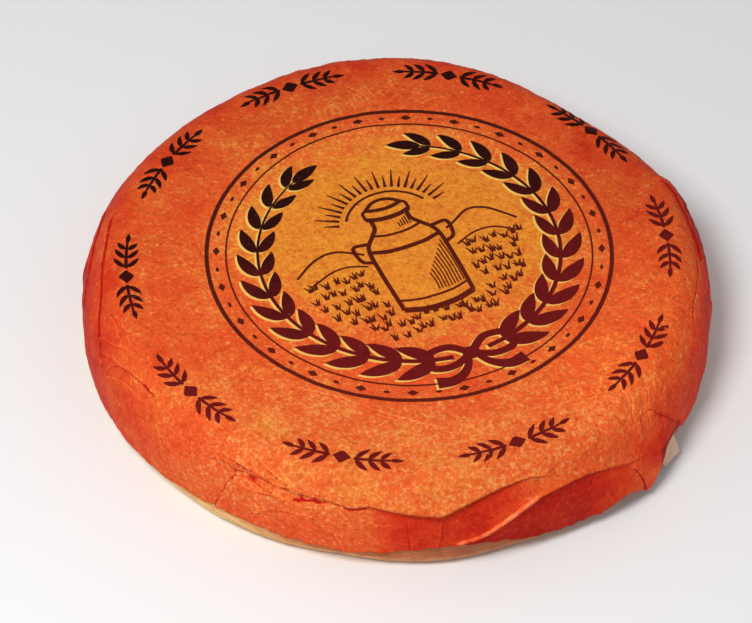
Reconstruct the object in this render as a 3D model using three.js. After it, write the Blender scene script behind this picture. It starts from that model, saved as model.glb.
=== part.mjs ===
// A whole wheel of soft washed-rind cheese, as sold: the tan wheel wears a cap of thin printed paper
// that covers its top and side and leaves a strip of rind bare along the foot. The cap is folded in
// at the front under a pointed ledge, has a slanting fold beside it, stands off as a skirt at the
// front right, and ends all round in a ragged hem. A corner of the plain inner paper looks out there.
//
// Millimetres and degrees. The wheel rests on z = 0 with its axis on Z. Angles run counter-clockwise
// seen from above, starting at +X, so the front of the wheel is at 270 degrees.

import * as THREE from 'three';

// Wheel
const RADIUS = 114.6; // mean radius over the paper
const HEIGHT = 40; // table to the top of the paper
const SHOULDER_IN = 14.5; // the rounded top edge, measured inward from the side
const SHOULDER_DOWN = 24.5; // and downward from the top
const FOOT_ROUND = 6; // rounding where the side turns under
// a hand-made wheel is a little out of round: where, over what half width, and how far out
const FLATS_AND_BULGES = [
  { at: 15, half: 12, out: 1.6 },
  { at: 49, half: 17, out: -4.3 },
  { at: 95, half: 22, out: 2.8 },
  { at: 170, half: 22, out: 2.1 },
  { at: 236, half: 22, out: -1.8 },
];

// Paper cap
const PAPER = 0.8; // the crumpled sheet with all its layers
const CLEARANCE = 0.3; // between the paper and the rind
const SKIRT = { at: 320, half: 17, out: 4.4 }; // where the paper stands off the side
const SKIRT_TOP = 30; // height where the skirt leaves the wheel
const SKIRT_FULL = 9; // height where it stands off fully
// the ledge: at the front the top sheet ends in a fold that overhangs the side by "out"
const LEDGE = [
  { at: 244, height: 29.5, out: 0 },
  { at: 262, height: 28.5, out: 0.8 },
  { at: 278, height: 23.6, out: 2.4 },
  { at: 292, height: 32.4, out: 1 },
  { at: 299, height: 31, out: 0 },
];
const LEDGE_FADE = 14; // height over which the overhang fades into the top
// the slanting fold below it climbs from the hem to the shoulder
const SLANT = [
  { at: 262, height: 18, out: 0 },
  { at: 281.5, height: 12.5, out: 0.4 },
  { at: 291, height: 19.5, out: 1.5 },
  { at: 300, height: 27, out: 1.2 },
  { at: 316, height: 25, out: 0.4 },
  { at: 334, height: 18, out: 0 },
];
const SLANT_FADE = 6; // height over which its upper side falls back
const UNDERCUT = 0.5; // height of the sharp underside of both folds
// gathered pleats run down the side: each rises slowly and drops at its own angle
const PLEATS = [
  { at: 207, out: 0.7 },
  { at: 237, out: 0.9 },
  { at: 324, out: 1.2 },
];
const FURTHER_PLEATS = 9; // spread from the right over the back to the left
const FURTHER_FROM = -24;
const FURTHER_TO = 192;
const PLEAT_RISE = 9; // degrees over which a pleat rises
const PLEAT_DROP = 3; // degrees over which it drops
const PLEAT_TOP = 4; // depth below the top where the pleats begin
// the torn hem
const HEM = 6; // its mean height over the table
const HEM_LOWEST = 2.5;
const HEM_RAGGED = 0.7; // how far its height jumps from one column to the next
const HEM_WAVES = [
  { at: 60, half: 26, out: -1.2 },
  { at: 140, half: 20, out: 1.4 },
  { at: 262, half: 32, out: 2.8 },
  { at: 279, half: 7, out: 2.2 },
  { at: 319.5, half: 3.5, out: -3 },
  { at: 328, half: 5, out: 9 },
];

// Corner of the plain inner paper that shows in the gap of the hem at the front right
const INNER_SHEET = 0.5;
const CORNER_AT = 325;
const CORNER_RADIUS = 116; // from the axis to its inner face
const CORNER_TILT = 6; // it turns outward towards its free end
// along the side and up, from the point on the wheel at CORNER_AT
const CORNER = [
  [-9, 8.4],
  [-4, 7.4],
  [6.2, 6.3],
  [7, 8],
  [4.3, 14],
  [-8, 12.6],
];

// Fineness of the solids
const COLUMNS = 120;
const TOP_SHARES = [0.3, 0.6, 0.85]; // rings on the flat top, as shares of its radius
const SHOULDER_ROWS = 6;
const PANEL_ROWS = 2;
const SKIRT_ROWS = 3;
const FOOT_ROWS = 3;
const SEED = 7;

const cos = (angle) => Math.cos(THREE.MathUtils.degToRad(angle));
const sin = (angle) => Math.sin(THREE.MathUtils.degToRad(angle));
const { lerp, smoothstep, euclideanModulo } = THREE.MathUtils;

// A repeatable draw from 0 to 1
const draw = (number) => euclideanModulo(Math.sin(number * 127.1 + SEED) * 43758.5453, 1);

// Signed difference of two angles, from -180 to 180
const turn = (angle, at) => euclideanModulo(angle - at + 180, 360) - 180;

const bump = (angle, { at, half, out }) => out * Math.exp(-((turn(angle, at) / half) ** 2));

const sumOfBumps = (angle, bumps) => bumps.reduce((sum, one) => sum + bump(angle, one), 0);

const outline = (angle) => RADIUS + sumOfBumps(angle, FLATS_AND_BULGES);

// Height and overhang of a fold at an angle: straight between its stations, and on round the back
function foldAt(stations, angle) {
  const first = stations[0];
  const ring = [...stations, { ...first, at: first.at + 360 }];
  const place = first.at + euclideanModulo(angle - first.at, 360);
  const next = ring.findIndex((station) => station.at > place);
  const [a, b] = [ring[next - 1], ring[next]];
  const share = (place - a.at) / (b.at - a.at);
  return { height: lerp(a.height, b.height, share), out: lerp(a.out, b.out, share) };
}

// A point of the shoulder's quarter ellipse, moved outward along its normal. The slope is 0 where
// the shoulder meets the side and 90 degrees where it meets the flat top.
function shoulderPoint(angle, slope, outward) {
  const across = SHOULDER_DOWN * cos(slope);
  const up = SHOULDER_IN * sin(slope);
  const length = Math.hypot(across, up);
  const radius = outline(angle) - SHOULDER_IN * (1 - cos(slope));
  const height = HEIGHT - SHOULDER_DOWN * (1 - sin(slope));
  return [radius + (outward * across) / length, height + (outward * up) / length];
}

// The shoulder's slope at a height; the straight side below it has slope 0
function slopeAt(height) {
  const share = 1 - (HEIGHT - height) / SHOULDER_DOWN;
  return share <= 0 ? 0 : THREE.MathUtils.radToDeg(Math.asin(Math.min(share, 1)));
}

// A point of the shoulder or the side, named by its height and moved outward
function sidePoint(angle, height, outward) {
  const slope = slopeAt(height);
  return slope > 0 ? shoulderPoint(angle, slope, outward) : [outline(angle) + outward, height];
}

function furtherPleats() {
  const column = 360 / COLUMNS;
  const step = (FURTHER_TO - FURTHER_FROM) / FURTHER_PLEATS;
  return Array.from({ length: FURTHER_PLEATS }, (_, index) => {
    const place = FURTHER_FROM + (index + lerp(0.2, 0.8, draw(index))) * step;
    const out = lerp(0.5, 1.1, draw(index + FURTHER_PLEATS));
    return { at: Math.round(place / column) * column, out };
  });
}

const pleats = [...PLEATS, ...furtherPleats()];

// How far the pleats lift the sheet; they fade out up the shoulder
function pleatLift(angle, height) {
  const lifts = pleats.map((pleat) => {
    const past = turn(angle, pleat.at);
    const share = past < 0 ? 1 + past / PLEAT_RISE : 1 - past / PLEAT_DROP;
    return pleat.out * Math.max(0, share);
  });
  return smoothstep(HEIGHT - height, PLEAT_TOP, SHOULDER_DOWN) * Math.max(...lifts);
}

const skirtLift = (angle, height) => bump(angle, SKIRT) * (1 - smoothstep(height, SKIRT_FULL, SKIRT_TOP));

function hemHeight(angle) {
  const column = Math.round((angle * COLUMNS) / 360);
  const ragged = HEM_RAGGED * (2 * draw(column + COLUMNS) - 1);
  return Math.max(HEM_LOWEST, HEM + sumOfBumps(angle, HEM_WAVES) + ragged);
}

// Rows of the side along one meridian, from the flat top down to the given lower end. Each has its
// height and how far the folds lift it; the undercuts are only on the outside of the paper.
function sideRows(angle, lowerEnd) {
  const ledge = foldAt(LEDGE, angle);
  const slant = foldAt(SLANT, angle);
  const faded = (fold, height, fade) => fold.out * Math.max(0, 1 - (height - fold.height) / fade);
  const rows = [];
  for (let row = 1; row <= SHOULDER_ROWS; row++) {
    const slope = lerp(90, slopeAt(ledge.height), row / SHOULDER_ROWS);
    const height = HEIGHT - SHOULDER_DOWN * (1 - sin(slope));
    rows.push({ height, lift: faded(ledge, height, LEDGE_FADE) });
  }
  for (let row = 0; row <= PANEL_ROWS; row++) {
    const height = lerp(ledge.height - UNDERCUT, slant.height, row / PANEL_ROWS);
    rows.push({ height, lift: faded(slant, height, SLANT_FADE), undercut: row === 0 });
  }
  for (let row = 0; row <= SKIRT_ROWS; row++) {
    const height = lerp(slant.height - UNDERCUT, lowerEnd, row / SKIRT_ROWS);
    rows.push({ height, lift: 0, undercut: row === 0 });
  }
  return rows;
}

// The cap in section: from the axis along its inside to the hem, and back up its outside
function capProfile(angle) {
  const rows = sideRows(angle, hemHeight(angle));
  const rim = outline(angle) - SHOULDER_IN;
  const stoodOff = ([radius, raised], height) => [radius + skirtLift(angle, height), raised];
  const inside = rows
    .filter(({ undercut }) => !undercut)
    .map(({ height }) => stoodOff(sidePoint(angle, height, -PAPER), height));
  const outside = rows.map(({ height, lift }) =>
    stoodOff(sidePoint(angle, height, lift + pleatLift(angle, height)), height)
  );
  const top = TOP_SHARES.map((share) => [share * rim, HEIGHT]);
  return [
    [0, HEIGHT - PAPER],
    [rim, HEIGHT - PAPER],
    ...inside,
    ...outside.reverse(),
    [rim, HEIGHT],
    ...top.reverse(),
    [0, HEIGHT],
  ];
}

// The wheel in section: from the axis along the underside, round the foot and up to the top
function wheelProfile(angle) {
  const depth = PAPER + CLEARANCE;
  const side = outline(angle) - depth;
  const foot = Array.from({ length: FOOT_ROWS + 1 }, (_, row) => {
    const slope = (90 * row) / FOOT_ROWS;
    return [side - FOOT_ROUND * (1 - sin(slope)), FOOT_ROUND * (1 - cos(slope))];
  });
  const wall = sideRows(angle, Math.max(hemHeight(angle), FOOT_ROUND + 1))
    .filter(({ undercut }) => !undercut)
    .map(({ height }) => sidePoint(angle, height, -depth));
  const rim = outline(angle) - SHOULDER_IN;
  return [[0, 0], ...foot, ...wall.reverse(), [rim, HEIGHT - depth], [0, HEIGHT - depth]];
}

// A body turned about Z whose section changes from column to column
function turned(sectionAt) {
  const first = sectionAt(0);
  const outlinePoints = first.map(([radius, height]) => new THREE.Vector2(radius, height));
  const geometry = new THREE.LatheGeometry(outlinePoints, COLUMNS);
  const position = geometry.attributes.position;
  for (let column = 0; column <= COLUMNS; column++) {
    const angle = (360 * (column % COLUMNS)) / COLUMNS;
    sectionAt(angle).forEach(([radius, height], row) => {
      const index = column * first.length + row;
      position.setXYZ(index, radius * cos(angle), radius * sin(angle), height);
    });
  }
  geometry.computeVertexNormals();
  return geometry;
}

function paper(color) {
  return new THREE.MeshStandardMaterial({ color, roughness: 0.6, metalness: 0 });
}

function cheeseWheel() {
  const rind = new THREE.MeshStandardMaterial({ color: 0xc98a52, roughness: 0.7, metalness: 0 });
  const mesh = new THREE.Mesh(turned(wheelProfile), rind);
  mesh.name = 'cheese_wheel';
  return mesh;
}

function paperCap() {
  const mesh = new THREE.Mesh(turned(capProfile), paper(0xe0652c));
  mesh.name = 'paper_cap';
  return mesh;
}

function innerPaperCorner() {
  const shape = new THREE.Shape(CORNER.map(([along, up]) => new THREE.Vector2(along, up)));
  const geometry = new THREE.ExtrudeGeometry(shape, { depth: INNER_SHEET, bevelEnabled: false });
  const mesh = new THREE.Mesh(geometry, paper(0xe3c4a5));
  const facing = CORNER_AT - CORNER_TILT;
  const along = new THREE.Vector3(-sin(facing), cos(facing), 0);
  const up = new THREE.Vector3(0, 0, 1);
  const outward = new THREE.Vector3(cos(facing), sin(facing), 0);
  mesh.quaternion.setFromRotationMatrix(new THREE.Matrix4().makeBasis(along, up, outward));
  mesh.position.set(CORNER_RADIUS * cos(CORNER_AT), CORNER_RADIUS * sin(CORNER_AT), 0);
  mesh.name = 'inner_paper_corner';
  return mesh;
}

const wheel = new THREE.Group();
wheel.add(cheeseWheel(), paperCap(), innerPaperCorner());

export default wheel;
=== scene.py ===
"""A whole washed-rind cheese wheel in its paper cap: the looks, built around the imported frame.

Lengths are millimetres in the making and metres in Blender. Angles are degrees, counter-clockwise
seen from above from +X, so the front of the wheel is at 270.
"""
import math

import bpy
import numpy as np
from mathutils import Matrix, Vector, noise
from mathutils.bvhtree import BVHTree


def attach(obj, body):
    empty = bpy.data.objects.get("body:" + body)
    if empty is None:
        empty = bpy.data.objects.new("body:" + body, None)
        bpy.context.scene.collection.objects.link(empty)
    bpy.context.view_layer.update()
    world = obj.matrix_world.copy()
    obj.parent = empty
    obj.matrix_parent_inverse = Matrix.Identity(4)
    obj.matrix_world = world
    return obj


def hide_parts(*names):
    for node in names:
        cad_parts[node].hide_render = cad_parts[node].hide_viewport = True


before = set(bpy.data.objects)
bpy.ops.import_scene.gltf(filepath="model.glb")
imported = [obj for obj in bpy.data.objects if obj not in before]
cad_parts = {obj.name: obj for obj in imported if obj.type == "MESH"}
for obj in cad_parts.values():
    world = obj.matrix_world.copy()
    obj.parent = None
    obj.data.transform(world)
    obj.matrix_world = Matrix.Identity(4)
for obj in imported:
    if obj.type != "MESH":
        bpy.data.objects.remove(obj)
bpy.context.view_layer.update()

MM = 0.001

# Wheel, as in the frame
RADIUS = 114.3
HEIGHT = 40.0
SHOULDER_IN = 14.5
SHOULDER_DOWN = 24.5
FOOT_ROUND = 6.0
RIND_DEPTH = 1.1  # from the outside of the paper in to the rind
# where, over what half width, and how far out
FLATS_AND_BULGES = (
    (15, 12, 1.0),
    (49, 17, -4.3),
    (95, 22, 2.8),
    (170, 22, 1.6),
    (236, 22, -1.8),
    (337.5, 5, 0.5),
    (348.5, 2.5, 0.5),
)

# Paper cap
SHEET = 0.3
SKIRT_AT = 319.5
SKIRT_LEFT = 12.5
SKIRT_RIGHT = 9.5
SKIRT_OUT = 5.0
SKIRT_TOP = 30.0
SKIRT_FULL = 9.0
# angle, height and overhang of the ledge at the front
LEDGE = (
    (236, 31.0, 0.0),
    (240.5, 30.6, 0.1),
    (245, 30.7, 0.15),
    (248.3, 30.1, 0.2),
    (251.5, 29.8, 0.3),
    (255, 30.1, 0.3),
    (258.4, 30.0, 0.35),
    (262.2, 28.9, 0.6),
    (265.6, 30.4, 0.9),
    (270.3, 29.1, 1.6),
    (274.6, 28.0, 2.1),
    (278, 27.3, 2.4),
    (280.3, 28.9, 2.3),
    (284.5, 31.4, 1.8),
    (288.9, 33.1, 1.3),
    (293.4, 33.7, 0.8),
    (296.9, 32.8, 0.4),
    (299.5, 31.0, 0.0),
)
LEDGE_FADE = 14.0
# angle, height and overhang of the slanting fold
SLANT = (
    (262, 18.0, 0.0),
    (279, 11.8, 0.0),
    (281.2, 12.4, 0.9),
    (283.6, 14.0, 1.3),
    (286.4, 16.2, 1.6),
    (288.5, 18.9, 1.8),
    (292.8, 23.5, 1.8),
    (296.3, 26.2, 1.5),
    (299.8, 26.9, 1.2),
    (303, 27.0, 0.9),
    (306.4, 26.4, 0.75),
    (310.3, 24.6, 0.6),
    (314.6, 21.4, 0.35),
    (319, 19.8, 0.0),
    (334, 18.0, 0.0),
)
SLANT_FADE = 5.0
# the paleness of the crest is a painted highlight
CREST = 1.3  # of the slanting fold, where the paper turns and is pale
HEM = 6.0
HEM_LOWEST = 2.5
HEM_WAVES = (
    (60, 26, -1.2),
    (140, 20, 1.4),
    (237, 9, 1.3),
    (262, 32, 2.8),
    (278.5, 8, 4.0),
    (288, 4.5, 1.5),
    (303, 6, -0.9),
    (305, 0.5, -0.7),
    (308.2, 0.6, -0.9),
    (313.0, 0.5, -1.3),
    (313.8, 2.6, 2.8),
    (319.5, 2.6, -3.4),
    (327.8, 5.4, 8.8),
)

# Fineness
COLUMNS = 960
MOST_HALVINGS = 4  # towards the centre the rings have half, a quarter and fewer of the columns
TOP_STEP = 1.25
SHOULDER_ROWS = 25
PANEL_ROWS = 7
SKIRT_ROWS = 13
INSIDE_ROWS = 7


def turn(angle, at):
    """Signed difference of two angles, from -180 to 180."""
    return (angle - at + 180) % 360 - 180


def bump(angle, at, half, out):
    return out * np.exp(-((turn(angle, at) / half) ** 2))


def bumps(angle, places):
    """Bumps added up, each given by where it is, its half width and how far out it is."""
    return sum(bump(angle, *one) for one in places)


def outline(angle):
    return RADIUS + bumps(angle, FLATS_AND_BULGES)


def smooth(value, low, high):
    share = np.clip((value - low) / (high - low), 0, 1)
    return share * share * (3 - 2 * share)


def fade_out(value, full, none):
    """1 up to a value and 0 from another on, soft between them."""
    return 1 - smooth(value, full, none)


def between(value, none, full, fading, gone):
    """1 from full to fading, and soft slopes down to 0 on both sides."""
    return smooth(value, none, full) * fade_out(value, fading, gone)


def fold_line(stations, angle):
    """Height and overhang of a fold at an angle, straight between its stations."""
    at, height, out = zip(*stations)
    return (
        np.interp(angle, at, height, period=360),
        np.interp(angle, at, out, period=360),
    )


def slope_at(height):
    """Slope of the shoulder at a height, 0 on the side and a quarter turn at the flat top."""
    return np.arcsin(np.clip(1 - (HEIGHT - height) / SHOULDER_DOWN, 0, 1))


def side_point(angle, height, outward):
    """Radius and height of a point of the shoulder or the side, moved outward along its normal."""
    slope = slope_at(height)
    across = SHOULDER_DOWN * np.cos(slope)
    up = SHOULDER_IN * np.sin(slope)
    length = np.hypot(across, up)
    radius = outline(angle) - SHOULDER_IN * (1 - np.cos(slope))
    return radius + outward * across / length, height + outward * up / length


def skirt_lift(angle, height):
    half = np.where(turn(angle, SKIRT_AT) > 0, SKIRT_RIGHT, SKIRT_LEFT)
    return bump(angle, SKIRT_AT, half, SKIRT_OUT) * fade_out(height, SKIRT_FULL, SKIRT_TOP)


def polar(angle, radius, height):
    """Points from angles, radii and heights."""
    turned = np.radians(angle)
    return np.stack([radius * np.cos(turned), radius * np.sin(turned), height + 0 * turned], -1)


def noise_at(points, wavelength, seed):
    """Smooth noise from about -1 to 1 at an array of points."""
    shape = points.shape[:-1]
    offset = np.array([seed * 17.3, seed * 5.1, seed * 29.7])
    moved = points.reshape(-1, 3) / wavelength + offset
    return np.array([noise.noise(Vector(p)) for p in moved]).reshape(shape)


def ring_faces(counts):
    """Faces between closed rings of vertices, where a ring may have half or twice the next one's."""
    faces = []
    start = 0
    for count, following in zip(counts, counts[1:]):
        second = start + count
        for j in range(min(count, following)):
            if count == following:
                k = (j + 1) % count
                faces.append((start + j, second + j, second + k, start + k))
            elif following > count:
                a, b = start + j, start + (j + 1) % count
                c = [second + (2 * j + step) % following for step in range(3)]
                faces.append((a, c[0], c[1]))
                faces.append((a, c[1], c[2], b))
            else:
                a, b = second + j, second + (j + 1) % following
                c = [start + (2 * j + step) % count for step in range(3)]
                faces.append((c[0], a, c[1]))
                faces.append((c[1], a, b, c[2]))
        start = second
    return faces


def disc_faces(first, count, centre, upward):
    """A fan that closes a ring to its centre point."""
    ring = [first + j for j in range(count)]
    pairs = zip(ring, ring[1:] + ring[:1])
    return [(centre, a, b) if upward else (centre, b, a) for a, b in pairs]


def closed_by_rings(rings, top_centre, bottom_centre):
    """Vertices and faces of a body made of rings from one pole to the other."""
    counts = [len(ring) for ring in rings]
    vertices = np.concatenate([*rings, [top_centre], [bottom_centre]])
    total = sum(counts)
    faces = ring_faces(counts)
    faces += disc_faces(0, counts[0], total, True)
    faces += disc_faces(total - counts[-1], counts[-1], total + 1, False)
    return vertices, faces


def sheet_faces(rows, columns, start=0):
    """Faces of a grid of points and of the same grid after it, joined all round the edge."""
    under = start + rows * columns
    faces = []
    for row in range(rows - 1):
        for column in range(columns - 1):
            corner = row * columns + column
            quad = (corner, corner + columns, corner + columns + 1, corner + 1)
            faces.append(tuple(start + k for k in quad))
            faces.append(tuple(under + k for k in reversed(quad)))
    edge = [*range(columns)]
    edge += [row * columns + columns - 1 for row in range(1, rows)]
    edge += [(rows - 1) * columns + column for column in range(columns - 2, -1, -1)]
    edge += [row * columns for row in range(rows - 2, 0, -1)]
    for a, b in zip(edge, edge[1:] + edge[:1]):
        faces.append((start + a, start + b, under + b, under + a))
    return faces


def new_piece(name, vertices, faces, slot, *replaced, smooth_shaded=True):
    """A mesh object of the wheel, from millimetres."""
    mesh = bpy.data.meshes.new(name)
    mesh.from_pydata((np.asarray(vertices) * MM).tolist(), [], faces)
    mesh.validate()
    mesh.polygons.foreach_set("use_smooth", [smooth_shaded] * len(mesh.polygons))
    piece = bpy.data.objects.new(name, mesh)
    bpy.context.scene.collection.objects.link(piece)
    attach(piece, "root")
    if replaced:
        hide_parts(*replaced)
    return piece


def add_values(piece, name, values):
    """A number for each vertex, for the material."""
    attribute = piece.data.attributes.new(name, "FLOAT", "POINT")
    attribute.data.foreach_set("value", np.asarray(values, np.float32).ravel())


# Camera
CAMERA_LENS = 165.9
CAMERA_SENSOR = 36
CAMERA_NEAREST = 50
CAMERA_FARTHEST = 20000
CAMERA_DISTANCE = 1285.0
CAMERA_ELEVATION = 46.81
CAMERA_ROLL = 0.76
CAMERA_AIM = (-7.8, 7.4)  # where it looks, right and up of the middle of the base


def make_camera():
    elevation = math.radians(CAMERA_ELEVATION)
    roll = math.radians(CAMERA_ROLL)
    back = Vector((0, -math.cos(elevation), math.sin(elevation)))
    level = Vector((1, 0, 0))
    upright = back.cross(level)
    right = level * math.cos(roll) + upright * math.sin(roll)
    up = upright * math.cos(roll) - level * math.sin(roll)
    place = back * CAMERA_DISTANCE
    target = right * CAMERA_AIM[0] + up * CAMERA_AIM[1]
    back = (place - target).normalized()
    right = up.cross(back).normalized()
    up = back.cross(right)
    data = bpy.data.cameras.new("camera")
    data.lens = CAMERA_LENS
    data.sensor_width = CAMERA_SENSOR
    data.clip_start = CAMERA_NEAREST * MM
    data.clip_end = CAMERA_FARTHEST * MM
    camera = bpy.data.objects.new("camera", data)
    turned = Matrix((right, up, back)).transposed().to_4x4()
    camera.matrix_world = Matrix.Translation(place * MM) @ turned
    bpy.context.scene.collection.objects.link(camera)
    bpy.context.scene.camera = camera


make_camera()


# Creases of the paper. Each is a lapped fold: its left side, going along the points and seen from
# outside, stands "step" above the right and falls back over "fade". A negative step is the other way
# round. The third number says how dark and wide its line of painted shade is. Points are angle and
# height on the side, and x and y on the top.
SIDE_CREASES = (
    # the dart at the front left and the wrinkles that run into it
    (0.75, 5, 1, ((240.9, 30.6), (239.8, 28), (238.9, 24.7), (237.6, 18), (236.3, 11.5), (235.4, 4))),
    (0.35, 3, 0.6, ((232.8, 33), (235.3, 31), (238, 30), (240.6, 30.6), (243.5, 32.2))),
    (-0.3, 3, 0.45, ((224, 31.2), (227, 31.2), (230.5, 32.4), (235.5, 34.8))),
    (0.3, 3, 0.3, ((226.5, 24.5), (229, 27.5), (233.5, 29), (236.5, 28.4))),
    (-0.25, 2.5, 0.3, ((241.2, 22.5), (243.6, 20.4), (246.8, 20.8), (249.8, 22))),
    (0.4, 2.5, 0.5, ((244.1, 9), (244.4, 13), (245.5, 17), (248.7, 20.7), (252.6, 21.5), (256, 20))),
    (0.35, 2.2, 0.7, ((235, 33.4), (239, 32.6), (243.5, 31.9), (249, 30.6), (255, 31.2))),
    (-0.3, 2.2, 0.6, ((238.5, 28.2), (243, 29), (247.5, 27.8), (252, 27.6))),
    (0.3, 2.2, 0.5, ((240, 25.6), (244.5, 25.2), (248.5, 26.4), (253.5, 25.4), (258, 27))),
    (0.3, 2.2, 0.3, ((240, 17.6), (244.6, 21.2), (249.5, 24.2), (254, 24.6))),
    (0.3, 2.5, 0.5, ((259, 18), (259.9, 14), (261, 7))),
    (0.4, 3, 1.3, ((211.4, 22.5), (210.6, 18.5), (209, 9.5))),
    (0.35, 2.5, 0.5, ((219.9, 27.7), (223.1, 24.8), (225.8, 22.6), (227.5, 21.1))),
    (-0.3, 2.2, 0.5, ((223.6, 29.1), (225.6, 26.2), (229.4, 23.4))),
    (0.3, 2.2, 0.35, ((226, 36.5), (228.5, 33.5), (230, 30), (232.5, 27), (235.5, 25.5))),
    (-0.25, 2, 0.3, ((229.5, 35.5), (231.5, 32.5), (233, 29.5), (236.5, 27.5))),
    (0.25, 2, 0.3, ((233.5, 34), (235, 32.6), (237.8, 31.8), (239.5, 29.5))),
    (0.3, 2.2, 0.3, ((221, 35), (222.5, 31), (224.5, 27), (228, 24))),
    (-0.25, 2.2, 0.25, ((217, 33), (219, 28), (222.5, 25), (226, 20))),
    (0.3, 2.2, 0.3, ((213, 33.5), (213.5, 29), (216.5, 25), (217.5, 20.5))),
    (-0.4, 2.5, 0.9, ((241.5, 30.2), (244.8, 30.2), (247.4, 29.6), (249.5, 29))),
    (-0.5, 2.5, 3.5, ((251.2, 27.6), (252.6, 28.2), (254.4, 28.9), (257.1, 29.1))),
    (-0.3, 2.5, 1, ((255, 29.7), (257.5, 29.6), (260.5, 29.2))),
    (-0.4, 2.5, 2.5, ((260.7, 29.4), (261.8, 28.4), (263.6, 28.8), (265.4, 29.8))),
    (0.3, 2.2, 0.6, ((242, 36.6), (245, 35), (248.6, 32.8), (252, 31))),
    (-0.3, 2, 0.5, ((247.5, 37), (250, 34.6), (253, 32), (256.5, 30.6))),
    # creases of the side panel under the ledge
    (0.4, 3, 1, ((272.2, 26.5), (272.4, 18), (272.8, 8.5))),
    (-0.4, 3, 0.9, ((278.2, 24.5), (278.3, 18), (277.8, 10))),
    (0.25, 2, 0.4, ((264.5, 24), (268, 22.5), (270.5, 23.5))),
    (0.3, 2.5, 0.4, ((283, 24), (286, 22.8), (290.5, 26))),
    # the right front: crinkles over the shoulder, the dart and the corner facet
    (0.3, 2, 0.6, ((294.2, 34.2), (297, 32.6), (300.2, 33.6))),
    (0.7, 3.5, 2, ((315.2, 19), (316.1, 17), (317.1, 11.6), (318.4, 3))),
    (-0.6, 4, 1.8, ((322, 34.4), (324.9, 28.6), (326.2, 25.8), (327.8, 21.6), (329.8, 16.5), (331, 11))),
    (0.3, 3, 0.6, ((324.6, 29), (325.3, 25.6), (325, 22.8), (323.6, 20.6))),
    (0.35, 4, 0.35, ((306.5, 20), (309, 16), (310.5, 9))),
    (0.3, 2.2, 0.3, ((311.5, 39), (312.6, 36.8), (312.2, 33), (313.5, 30.5))),
    (-0.3, 2.2, 0.3, ((315, 39.3), (315.8, 36.8), (315.6, 32.6))),
    (0.35, 2.2, 0.45, ((322.2, 39.6), (320.4, 37.1), (319, 34.4), (318.7, 28.6), (319.4, 24.5))),
    (-0.3, 2, 0.4, ((324, 39), (322.6, 36.4), (321.7, 33.6), (320.4, 31.3), (319.6, 27))),
    (0.35, 2, 0.45, ((326, 38.4), (325, 36.4), (322.8, 33.1), (322.1, 29.3), (321.9, 26))),
    (-0.3, 2, 0.35, ((328, 36.8), (326.8, 34.3), (325.2, 32.4), (323.6, 30.8))),
    (0.3, 2, 0.35, ((330.5, 34.6), (328.2, 32.5), (327.7, 29), (326.4, 27.5))),
    (0.3, 2.4, 0.35, ((329.4, 31), (329.6, 28.4), (330.6, 23.4), (331.4, 17.9))),
    (-0.3, 2.4, 0.3, ((334, 38.4), (333, 34), (333.4, 28), (335, 20))),
    # the folds that run round the shoulder at the left and at the right
    (-0.7, 3.5, 2.2,
     ((166, 38.8), (171, 38.4), (177.5, 38.4), (185, 37.6), (191, 35.8), (196.5, 31.5), (203, 25))),
    (0.4, 3, 0.7, ((203.5, 24.5), (206, 31.5), (209.5, 34.4), (213.5, 35.2), (219, 35.2))),
    (-0.6, 3, 3, ((163, 30.5), (168, 33), (176, 32.6), (183, 29), (188, 22))),
    (0.5, 3, 3, ((188.4, 33), (189.4, 31.3), (190.3, 28.2), (191.5, 23.1), (190.9, 14), (190, 6))),
    (-0.3, 2.5, 0.45, ((194.5, 37), (198, 38.2), (202.5, 37.6))),
    (0.25, 2, 0.4, ((197.5, 39), (202.3, 38.7), (206.1, 38.4))),
    (0.3, 2.5, 0.7, ((196.5, 20.1), (201.2, 23.9), (203.2, 25))),
    (0.3, 2.5, 1.5, ((213, 35.7), (215.5, 35.8), (218.5, 35.2))),
    (0.3, 2.2, 0.4, ((196, 29), (200.5, 33), (205, 36.8), (209, 38.6))),
    (0.3, 2.2, 0.5, ((199.5, 26), (203, 30.5), (206.5, 33), (212, 33.6))),
    (-0.25, 2.2, 0.4, ((203, 22), (206, 27.5), (211, 31.5), (216, 31.8))),
    (0.8, 5, 5, ((23.7, 39.1), (21.2, 36.9), (15.4, 35.9), (10.2, 35.4), (6.9, 33.6), (2.4, 32.2))),
    (0.4, 4, 0.9, ((4.4, 35.4), (-1.3, 35.2), (-6, 35.8), (-9.2, 36.4), (-14, 35.4))),
    (-1.5, 9, 1, ((24.9, 39.7), (24.4, 36), (24, 31), (23.4, 25))),
    (0.5, 3, 0.8, ((24, 33.5), (14, 31), (4, 27), (-4, 20))),
    (0.35, 3, 0.5, ((-7, 38.5), (-12.5, 35.5), (-16, 30), (-17.5, 22))),
    (0.4, 3, 0.6, ((-21, 31), (-20.5, 24), (-22, 15), (-23, 9))),
)
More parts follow.
